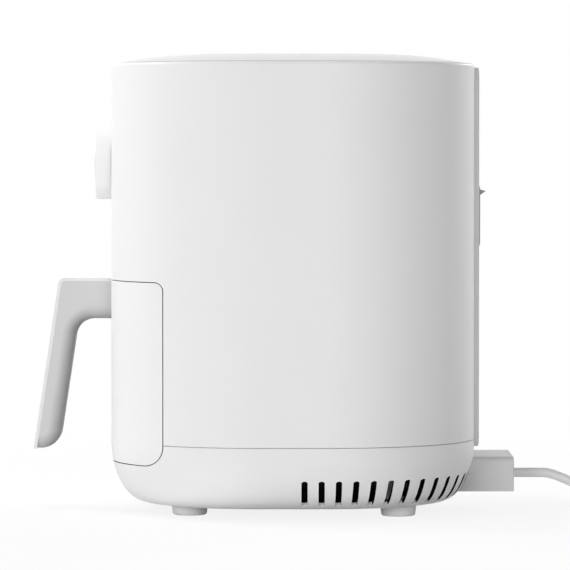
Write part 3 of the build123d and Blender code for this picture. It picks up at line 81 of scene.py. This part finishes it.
class Finish:
    """The shader nodes of a material, or of the sky, in the making."""

    def __init__(self, owner):
        owner.use_nodes = True
        self.owner = owner
        self.tree = owner.node_tree
        self.tree.nodes.clear()

    def node(self, kind, settings=None, sockets=None, output=0):
        """Adds a node, sets it up, then gives its sockets their values or links."""
        made = self.tree.nodes.new(kind)
        for name, value in (settings or {}).items():
            setattr(made, name, value)
        for name, value in (sockets or {}).items():
            if isinstance(value, Wire):
                self.tree.links.new(value.socket, made.inputs[name])
            else:
                made.inputs[name].default_value = value
        return Wire(self, made.outputs[output]) if made.outputs else None

    def vector(self, operation, first, second, output=0):
        """A step of vector maths."""
        return self.node("ShaderNodeVectorMath", {"operation": operation}, {0: first, 1: second}, output)

    def place(self):
        """Where a point of the surface is, in the object's own frame, in metres."""
        return self.node("ShaderNodeTexCoord", output="Object")

    def height(self):
        """How far a point of the surface is above the feet, in metres."""
        return self.node("ShaderNodeSeparateXYZ", sockets={0: self.place()}, output="Z")

    def noise(self, size, detail=2.0):
        """Cloudy noise from 0 to 1 with features of about a size in metres."""
        sockets = {"Vector": self.place(), "Scale": 1 / size, "Detail": detail}
        return self.node("ShaderNodeTexNoise", sockets=sockets)

    def spread(self, wire, low, high):
        """A wire from 0 to 1 spread out between two values."""
        return low + wire * (high - low)

    def tint(self, share, first, second):
        """A colour between two colours."""
        sockets = {0: share, 6: first, 7: second}
        return self.node("ShaderNodeMix", {"data_type": "RGBA"}, sockets, output=2)

    def clamp(self, wire):
        """A wire kept between 0 and 1."""
        return self.node("ShaderNodeClamp", sockets={0: wire})

    def turned_out(self, heart):
        """How far a face is turned away from a point: 1 right away from it, -1 right towards it."""
        out = self.vector("SUBTRACT", self.place(), heart)
        out = self.node("ShaderNodeVectorMath", {"operation": "NORMALIZE"}, {0: out})
        normal = self.node("ShaderNodeNewGeometry", output="True Normal")
        return self.vector("DOT_PRODUCT", normal, out, output="Value")

    def turned_to(self, direction):
        """How far a face is turned in a direction: 1 right that way, 0 across it or away from it."""
        normal = self.node("ShaderNodeNewGeometry", output="Normal")
        return self.clamp(self.vector("DOT_PRODUCT", normal, direction, output="Value"))

    def bump(self, height, depth, strength):
        """Normals of a fine relief."""
        sockets = {"Height": height, "Distance": depth, "Strength": strength}
        return self.node("ShaderNodeBump", sockets=sockets)

    def skin(self, **sockets):
        """Ends the finish in one principled shader, whose sockets are named in small letters."""
        named = {}
        for name, value in sockets.items():
            named[name.replace("_", " ").title().replace("Ior", "IOR")] = value
        return self.close(self.node("ShaderNodeBsdfPrincipled", sockets=named))

    def close(self, shader, kind="ShaderNodeOutputMaterial"):
        """Ends the finish in a shader."""
        self.node(kind, sockets={"Surface": shader})
        return self.owner


def new_finish(name):
    """A new material, ready for its nodes."""
    return Finish(bpy.data.materials.new(name))


def grey(level, warmth=0.0):
    """A near-neutral colour, a little warmer or cooler."""
    return (level + warmth, level, level - warmth, 1.0)


def show(name, data):
    """Puts new data into the scene as an object."""
    made = bpy.data.objects.new(name, data)
    bpy.context.scene.collection.objects.link(made)
    return made


# Camera: a long lens nearly level with the lid, square to the side wall
CAMERA_PLACE = (2.885, 0.00805, 0.24565)
CAMERA_PITCH = 1.908
LENS = 271.1
SENSOR_WIDTH = 36.0
SIGHT = 50.0
lens = bpy.data.cameras.new("photo_lens")
lens.lens = LENS
lens.sensor_width = SENSOR_WIDTH
lens.clip_end = SIGHT
camera = show("photo_camera", lens)
camera.location = CAMERA_PLACE
camera.rotation_euler = (radians(90 - CAMERA_PITCH), 0, radians(90))
bpy.context.scene.camera = camera

# Mains cord: out of the block, down to the surface, then into a tied coil beside the plug
CORD_DIAMETER = 6.4 * MM
CORD_ROUTE = [
    (0, 160.35, 23.3),
    (0, 175.0, 23.3),
    (0, 189.0, 23.3),
    (0, 226.0, 4.3),
    (0, 250.0, 4.3),
]
COIL_LOW = 4.3
COIL_HIGH = 11.5
COIL_INNER = 27.0
COIL_PITCH = 7.2
COIL_TURNS = 4.25
COIL_OUTER = COIL_INNER + COIL_PITCH * COIL_TURNS / 2
COIL_CENTRE = (-COIL_OUTER, 256.4)
COIL_MIDDLE = pi * COIL_TURNS
CLIMB_HALF = pi / 2
STEPS_PER_TURN = 24
CORD_SMOOTHNESS = 6


def coil_point(angle):
    """Centre of the coiled cord at a turning angle, in millimetres."""
    past = angle - COIL_MIDDLE
    drift = abs(past)
    share = 1.0 if past > 0 else 0.0
    if drift < CLIMB_HALF:
        drift = (past**2 + CLIMB_HALF**2) / (2 * CLIMB_HALF)
        share = 0.5 + 0.5 * sin(pi * past / (2 * CLIMB_HALF))
    radius = COIL_INNER + COIL_PITCH * drift / (2 * pi)
    x = COIL_CENTRE[0] + radius * cos(angle)
    y = COIL_CENTRE[1] + radius * sin(angle)
    return (x, y, COIL_LOW + share * (COIL_HIGH - COIL_LOW))


def build_cord():
    """The whole cord as one smooth line with a round section."""
    steps = round(COIL_TURNS * STEPS_PER_TURN)
    turns = [coil_point(2 * pi * COIL_TURNS * step / steps) for step in range(steps + 1)]
    end = turns[-1]
    tail = (end[0] - CORD_DIAMETER / MM, end[1], end[2])
    points = CORD_ROUTE + turns + [tail]
    line = bpy.data.curves.new("mains_cord", "CURVE")
    line.dimensions = "3D"
    line.bevel_depth = 1.0
    line.bevel_resolution = CORD_SMOOTHNESS
    line.use_fill_caps = True
    spline = line.splines.new("NURBS")
    spline.points.add(len(points) - 1)
    for point, place in zip(spline.points, points):
        point.co = (*(Vector(place) * MM), 1.0)
        point.radius = CORD_DIAMETER / 2
    spline.order_u = 3
    spline.use_endpoint_u = True
    spline.resolution_u = CORD_SMOOTHNESS
    cord = show("mains_cord", line)
    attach(cord, "casing")
    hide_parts("power_cord", "cord_coil")
    return cord


cord = build_cord()

# Moulded finishes: a fine spark grain under slow clouding
GRAIN_SIZE = 0.5 * MM
GRAIN_DETAIL = 1.0
GRAIN_DEPTH = 0.02 * MM
CLOUD_SIZE = 60 * MM
WARMTH = 0.001
SATIN_TONE = 0.008
SATIN_CLOUD = 0.03
SATIN_GRAIN = 0.02
SATIN_RELIEF = 0.25
SATIN_SHINE = 0.05
PLAIN_SHADE = 0.95
PLAIN_GRAIN = 0.04
PLAIN_RELIEF = 0.3

# Painted shade: the base is painted near black within, below its upper edge, and the lid is painted
# darker beside its gap
SHELL_HEART = (0, 13.25 * MM, 40 * MM)
OUTSIDE_LEAST = 0.25
INSIDE_TOP = 47.5 * MM
LID_GAP = (297.7 * MM, 298.3 * MM)
# Painted shade on the handle: faces turned this way, down and towards the body, are painted greyer
SHADED_SIDE = (0, 0.8, -0.6)


def satin_plastic(name, level, rough, shine=SATIN_SHINE, inner_shade=None, underside_shade=None, gap=None):
    """Satin moulded plastic with a fine spark grain.

    Inner faces of a shell, turned to its heart, are painted near black as painted shade. On a handle,
    the faces turned down and towards the body are painted greyer as painted shade. Beside the lid's gap,
    the lowest part is painted darker as painted shade.
    """
    made = new_finish(name)
    cloud = made.noise(CLOUD_SIZE)
    grain = made.noise(GRAIN_SIZE, GRAIN_DETAIL)
    colour = made.tint(cloud, grey(level - SATIN_TONE, WARMTH), grey(level + SATIN_TONE, WARMTH))
    sheen = made.spread(cloud, rough - SATIN_CLOUD, rough + SATIN_CLOUD)
    sheen = sheen + made.spread(grain, -SATIN_GRAIN, SATIN_GRAIN)
    if inner_shade is not None:
        # Painted shade: inner faces below the upper edge are painted near black and made fully rough
        inner_shade_mask = (made.turned_out(SHELL_HEART) < OUTSIDE_LEAST) * (made.height() < INSIDE_TOP)
        colour = made.tint(inner_shade_mask, colour, grey(inner_shade))
        sheen = sheen + inner_shade_mask * (1 - rough)
    # Painted shade: handle faces turned down and towards the body are painted greyer
    if underside_shade is not None:
        colour = made.tint(made.turned_to(SHADED_SIDE), colour, grey(underside_shade))
    if gap is not None:
        # Painted shade: the lid is painted darker just above the rim, beside its gap
        rise = made.node("ShaderNodeMapRange", sockets={0: made.height(), 1: LID_GAP[0], 2: LID_GAP[1]})
        colour = made.tint(rise, grey(gap), colour)
    return made.skin(
        base_color=colour,
        roughness=sheen,
        specular_ior_level=shine,
        normal=made.bump(grain, GRAIN_DEPTH, SATIN_RELIEF),
    )


def plain_plastic(name, level, rough, grain_size=GRAIN_SIZE):
    """Moulded plastic or rubber with a fine grain and slight clouding."""
    made = new_finish(name)
    cloud = made.noise(CLOUD_SIZE / 2)
    grain = made.noise(grain_size, GRAIN_DETAIL)
    return made.skin(
        base_color=made.tint(cloud, grey(level * PLAIN_SHADE), grey(level)),
        roughness=made.spread(grain, rough - PLAIN_GRAIN, rough + PLAIN_GRAIN),
        normal=made.bump(grain, GRAIN_DEPTH, PLAIN_RELIEF),
    )


# Metal finishes
STREAK_SCALE = 900.0
STREAK_DETAIL = 3.0
STREAK_DEPTH = 0.02 * MM
STREAK_RELIEF = 0.2
STREAK_TONES = (-0.06, 0.04)
STREAK_WARMTH = 0.003
STREAK_ROUGH = (-0.06, 0.08)


def sheet_metal(name, level, rough, stretch):
    """Rolled metal, streaked along one direction."""
    made = new_finish(name)
    along = made.node("ShaderNodeMapping", sockets={"Vector": made.place(), "Scale": stretch})
    sockets = {"Vector": along, "Scale": STREAK_SCALE, "Detail": STREAK_DETAIL}
    streaks = made.node("ShaderNodeTexNoise", sockets=sockets)
    dark = grey(level + STREAK_TONES[0])
    pale = grey(level + STREAK_TONES[1], STREAK_WARMTH)
    return made.skin(
        base_color=made.tint(streaks, dark, pale),
        metallic=1.0,
        roughness=made.spread(streaks, rough + STREAK_ROUGH[0], rough + STREAK_ROUGH[1]),
        normal=made.bump(streaks, STREAK_DEPTH, STREAK_RELIEF),
    )


# Pan coating, circuit board and window
SPECK_SCALE = 700.0
SPECK_SIZE = 0.16
COATING_TONES = (0.022, 0.09)
COATING_ROUGH = (0.32, 0.46)
COATING_DEPTH = 0.03 * MM
TRACK_SCALE = 220.0
TRACK_GAP = 0.04
TRACK_LEAST = 0.4
LACQUER_GREEN = (0.008, 0.05, 0.02, 1)
TRACK_GREEN = (0.015, 0.09, 0.035, 1)
LACQUER_ROUGH = (0.25, 0.4)
HAZE_SIZE = 8 * MM
WINDOW_TONES = (0.008, 0.012)
WINDOW_ROUGH = (0.05, 0.1)
WINDOW_COAT = 0.5


def non_stick(name):
    """Dark coating with fine pale speckle."""
    made = new_finish(name)
    speck = made.node("ShaderNodeTexVoronoi", sockets={"Vector": made.place(), "Scale": SPECK_SCALE})
    grain = made.noise(GRAIN_SIZE)
    return made.skin(
        base_color=made.tint(speck < SPECK_SIZE, grey(COATING_TONES[0]), grey(COATING_TONES[1])),
        roughness=made.spread(grain, *COATING_ROUGH),
        normal=made.bump(grain, COATING_DEPTH, PLAIN_RELIEF),
    )


def circuit_board(name):
    """Green lacquer over faint copper tracks."""
    made = new_finish(name)
    sockets = {"Vector": made.place(), "Scale": TRACK_SCALE, "Mortar Size": TRACK_GAP}
    tracks = made.node("ShaderNodeTexBrick", sockets=sockets)
    tracks = made.node("ShaderNodeRGBToBW", sockets={0: tracks})
    return made.skin(
        base_color=made.tint(tracks > TRACK_LEAST, LACQUER_GREEN, TRACK_GREEN),
        roughness=made.spread(made.noise(GRAIN_SIZE), *LACQUER_ROUGH),
    )


def dark_lens(name):
    """Black gloss window with a faint haze."""
    made = new_finish(name)
    haze = made.noise(HAZE_SIZE)
    return made.skin(
        base_color=made.tint(haze, grey(WINDOW_TONES[0]), grey(WINDOW_TONES[1])),
        roughness=made.spread(haze, *WINDOW_ROUGH),
        coat_weight=WINDOW_COAT,
    )


# Finishes by the record's material slots, then the nodes that have one of their own
WHITE_LEVEL = 0.84
CORD_GRAIN = 1.2 * MM
FINISHES = {
    "shell_white": satin_plastic("satin_white_plastic", WHITE_LEVEL, rough=0.4),
    "dark_plastic": plain_plastic("black_plastic", 0.025, rough=0.5),
    "pale_rubber": plain_plastic("pale_rubber", 0.9, rough=0.65),
    "nonstick_coat": non_stick("non_stick_coating"),
    "sheet_steel": sheet_metal("rolled_steel", 0.55, rough=0.38, stretch=(1, 0.02, 1)),
    "screw_steel": sheet_metal("screw_steel", 0.5, rough=0.3, stretch=(1, 1, 0.1)),
    "runner_plastic": plain_plastic("grey_nylon", 0.14, rough=0.5),
    "heater_tube": sheet_metal("heater_tube_steel", 0.18, rough=0.5, stretch=(0.1, 0.1, 1)),
    "motor_steel": sheet_metal("motor_can_steel", 0.45, rough=0.35, stretch=(1, 1, 0.05)),
    "board_green": circuit_board("board_lacquer"),
    "lens_black": dark_lens("black_window"),
    "display_panel": dark_lens("display_glass"),
    "cord_white": plain_plastic("white_cord_jacket", 0.82, rough=0.45, grain_size=CORD_GRAIN),
    "tie_white": plain_plastic("white_tie_strap", 0.7, rough=0.5),
    "pin_nickel": sheet_metal("nickel_pins", 0.65, rough=0.2, stretch=(0.05, 1, 1)),
}
FINISH_OF_NODE = {
    # The handle is the white shell plastic painted greyer all over, and greyer still underneath: painted
    # shade
    "handle_grip": satin_plastic("satin_white_handle_painted_shade", 0.62, rough=0.42, underside_shade=0.23),
    # The lid is painted darker beside its gap: painted shade
    "top_cover": satin_plastic("satin_white_lid", WHITE_LEVEL, rough=0.5, shine=0.045, gap=0.2),
    # The rear block and rear cover are the white shell plastic painted greyer: painted shade
    "rear_block": satin_plastic("satin_white_block_painted_shade", 0.7, rough=0.42, shine=0.015),
    "rear_cover": satin_plastic("satin_white_cover_painted_shade", 0.72, rough=0.42),
    "exhaust_grille": satin_plastic("satin_grey_grille", 0.42, rough=0.45),
    "handle_strip": satin_plastic("satin_white_strip", 0.78, rough=0.4),
    # The base is painted near black within: painted shade
    "base_shell": satin_plastic("satin_white_base", WHITE_LEVEL, rough=0.4, inner_shade=0.004),
}
slot_of = {entry["node"]: entry["material_slot"] for entry in frame["record"]["subparts"]}
for name, node in nodes.items():
    node.data.materials.clear()
    node.data.materials.append(FINISH_OF_NODE.get(name, FINISHES[slot_of[name]]))
cord.data.materials.append(FINISHES["cord_white"])

# Floor and sky: white to the camera, with a soft shadow left on the floor
FLOOR_HALF = 6.0
FLOOR_CLOUD = 0.4
FLOOR_TONES = (0.85, 0.88)
SHADOW_SHARE = 0.15
SHADOW_REACH = 1.2
AMBIENT = 0.1
WHITE = grey(1.0)


def seen_directly(made):
    """1 where a ray comes from the camera, a mirror or a glass, else 0."""
    kinds = ("Is Camera Ray", "Is Glossy Ray", "Is Transmission Ray")
    rays = [made.node("ShaderNodeLightPath", output=kind) for kind in kinds]
    return (rays[0] + rays[1] + rays[2]) > 0.5


def floor_paint():
    """Pale matt paint that shows white, with part of the real shade kept near the object."""
    made = new_finish("studio_floor")
    colour = made.tint(made.noise(FLOOR_CLOUD), grey(FLOOR_TONES[0]), grey(FLOOR_TONES[1]))
    paint = made.node("ShaderNodeBsdfDiffuse", sockets={"Color": colour})
    glow = made.node("ShaderNodeEmission", sockets={"Color": WHITE, "Strength": 1.0})
    away = made.node("ShaderNodeVectorMath", {"operation": "LENGTH"}, {0: made.place()}, output="Value")
    near = made.clamp(1 - away * (1 / SHADOW_REACH))
    share = seen_directly(made) * (1 - near * SHADOW_SHARE)
    return made.close(made.node("ShaderNodeMixShader", sockets={0: share, 1: paint, 2: glow}))


def lay_floor():
    """A wide level square under the feet."""
    corners = [(x * FLOOR_HALF, y * FLOOR_HALF, 0) for x, y in ((-1, -1), (1, -1), (1, 1), (-1, 1))]
    plane = bpy.data.meshes.new("studio_floor")
    plane.from_pydata(corners, [], [(0, 1, 2, 3)])
    plane.materials.append(floor_paint())
    floor = show("studio_floor", plane)


def hang_sky():
    """A dim sky for the light, white where it is seen."""
    sky = Finish(bpy.data.worlds.new("studio_sky"))
    dim = sky.node("ShaderNodeBackground", sockets={"Color": WHITE, "Strength": AMBIENT})
    bright = sky.node("ShaderNodeBackground", sockets={"Color": WHITE, "Strength": 1.0})
    share = seen_directly(sky)
    both = sky.node("ShaderNodeMixShader", sockets={0: share, 1: dim, 2: bright})
    bpy.context.scene.world = sky.close(both, "ShaderNodeOutputWorld")


lay_floor()
hang_sky()

# Lamps: the camera stands at azimuth 0 and the drawer faces azimuth -90
LAMP_DISTANCE = 2.4
LAMP_AIM = Vector((0, 13.25 * MM, 150 * MM))


def soft_box(name, azimuth, elevation, size, power):
    """Square area lamp turned to the middle of the body."""
    lamp = bpy.data.lights.new(name, "AREA")
    lamp.size = size
    lamp.energy = power
    turn, lift = radians(azimuth), radians(elevation)
    aim = Vector((cos(turn) * cos(lift), sin(turn) * cos(lift), sin(lift)))
    box = show(name, lamp)
    box.location = LAMP_AIM + LAMP_DISTANCE * aim
    box.rotation_euler = aim.to_track_quat("Z", "Y").to_euler()


soft_box("front_key", azimuth=-115, elevation=35, size=1.0, power=33)
soft_box("top_front", azimuth=-95, elevation=75, size=1.0, power=18)
soft_box("side_front", azimuth=-30, elevation=4, size=1.0, power=20)
soft_box("side_rear", azimuth=6, elevation=10, size=1.0, power=13)
soft_box("rear_side", azimuth=120, elevation=15, size=0.3, power=9.5)
soft_box("rear_rim", azimuth=142, elevation=18, size=0.3, power=24)
soft_box("far_fill", azimuth=180, elevation=10, size=1.2, power=4)

view = bpy.context.scene.view_settings
view.view_transform = "Standard"
